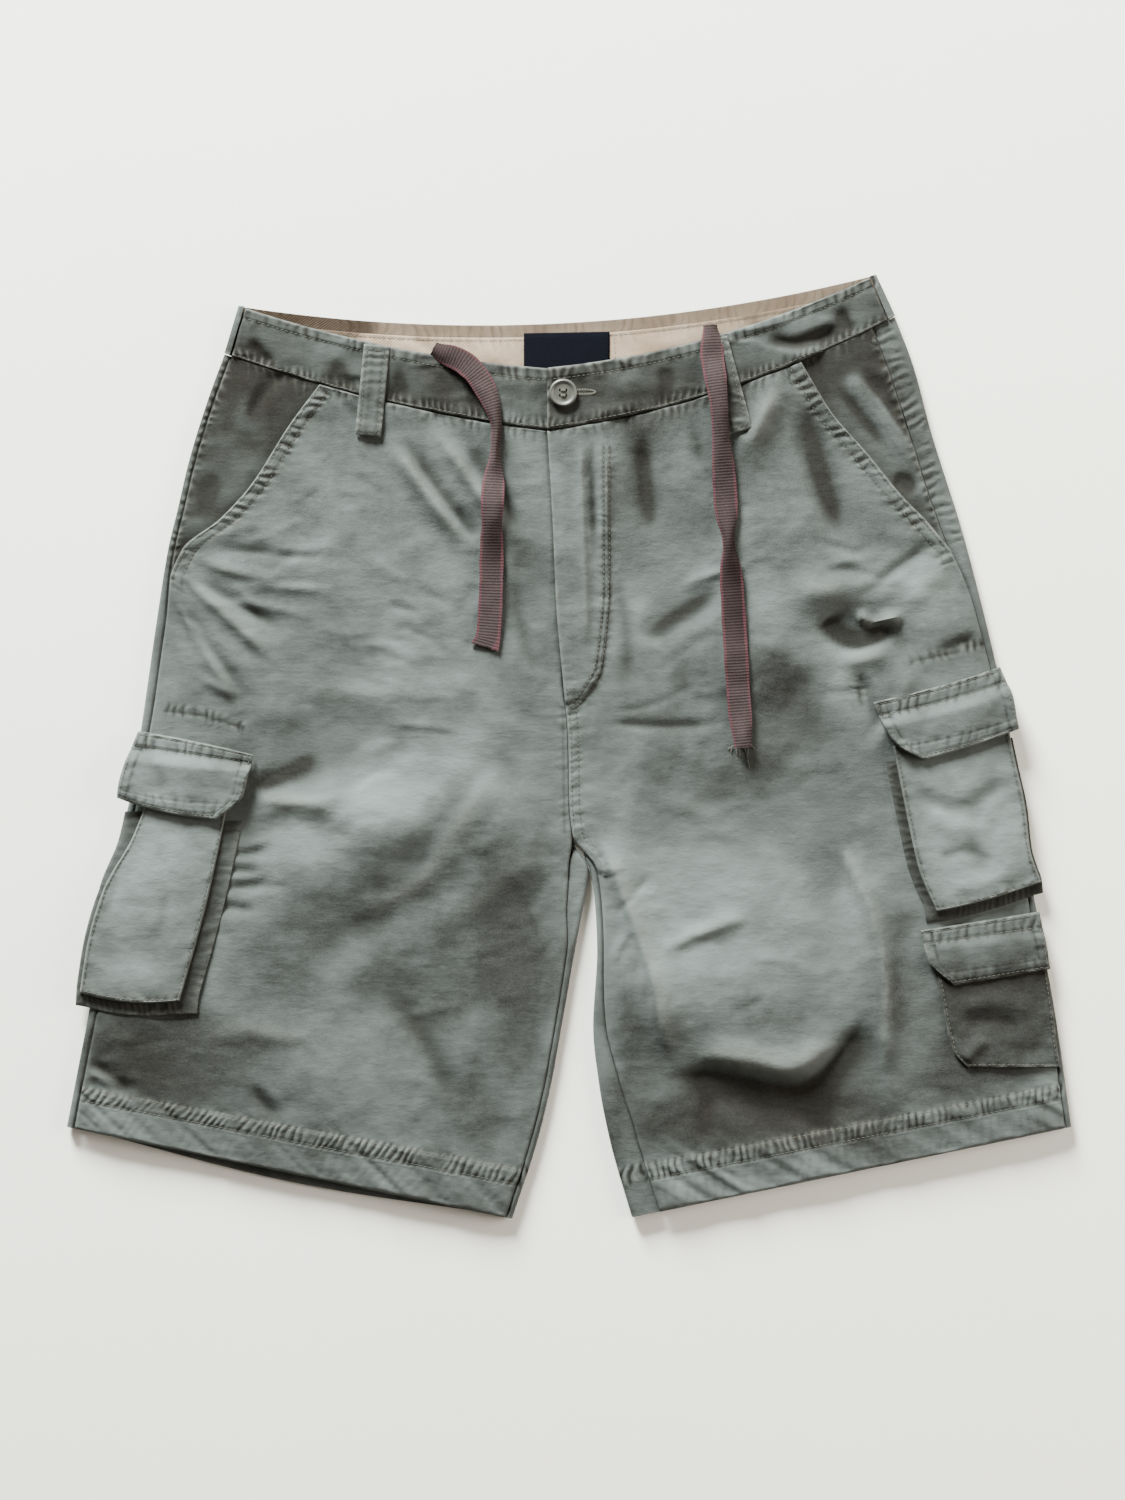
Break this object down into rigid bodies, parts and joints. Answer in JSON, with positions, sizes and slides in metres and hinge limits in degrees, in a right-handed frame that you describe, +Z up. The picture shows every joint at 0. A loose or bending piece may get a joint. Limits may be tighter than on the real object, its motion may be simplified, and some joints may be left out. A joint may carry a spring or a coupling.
{
  "type": "cargo shorts",
  "caption": "Knee-length cargo shorts laid flat, with slant and flapped cargo pockets, buttoned waistband and drawstring.",
  "frame": {"origin": "middle of the outline, on the surface that the shorts lie on", "axes": "+X towards the wearer's left, +Y towards the waist, +Z up out of the front"},
  "size_m": [0.644, 0.605, 0.0165],
  "materials": {
    "sage_cloth": "brushed cotton poplin, matt, worn pale along seams",
    "tan_twill": "tan cotton twill with a fine diagonal rib",
    "navy_label": "dark woven damask label, plain",
    "striped_tape": "flat woven tape, rose with pale cross ribs",
    "grey_button": "satin grey resin"
  },
  "bodies": {
    "root": {"back_right": "sage_cloth", "front_right": "sage_cloth", "hip_facing_right": "sage_cloth", "waistband_front_right": "sage_cloth", "back_left": "sage_cloth", "front_left": "sage_cloth", "hip_facing_left": "sage_cloth", "waistband_front_left": "sage_cloth", "waistband_back": "sage_cloth", "waist_facing": "tan_twill", "waist_label": "navy_label", "belt_loop_right": "sage_cloth", "belt_loop_left": "sage_cloth", "button": "grey_button", "drawstring_right": "striped_tape", "drawstring_left": "striped_tape", "cargo_right_face": "sage_cloth", "cargo_right_gusset": "sage_cloth", "cargo_right_flap": "sage_cloth", "cargo_left_face": "sage_cloth", "cargo_left_gusset": "sage_cloth", "cargo_left_flap": "sage_cloth", "patch_left_face": "sage_cloth", "patch_left_flap": "sage_cloth"}
  },
  "joints": []
}
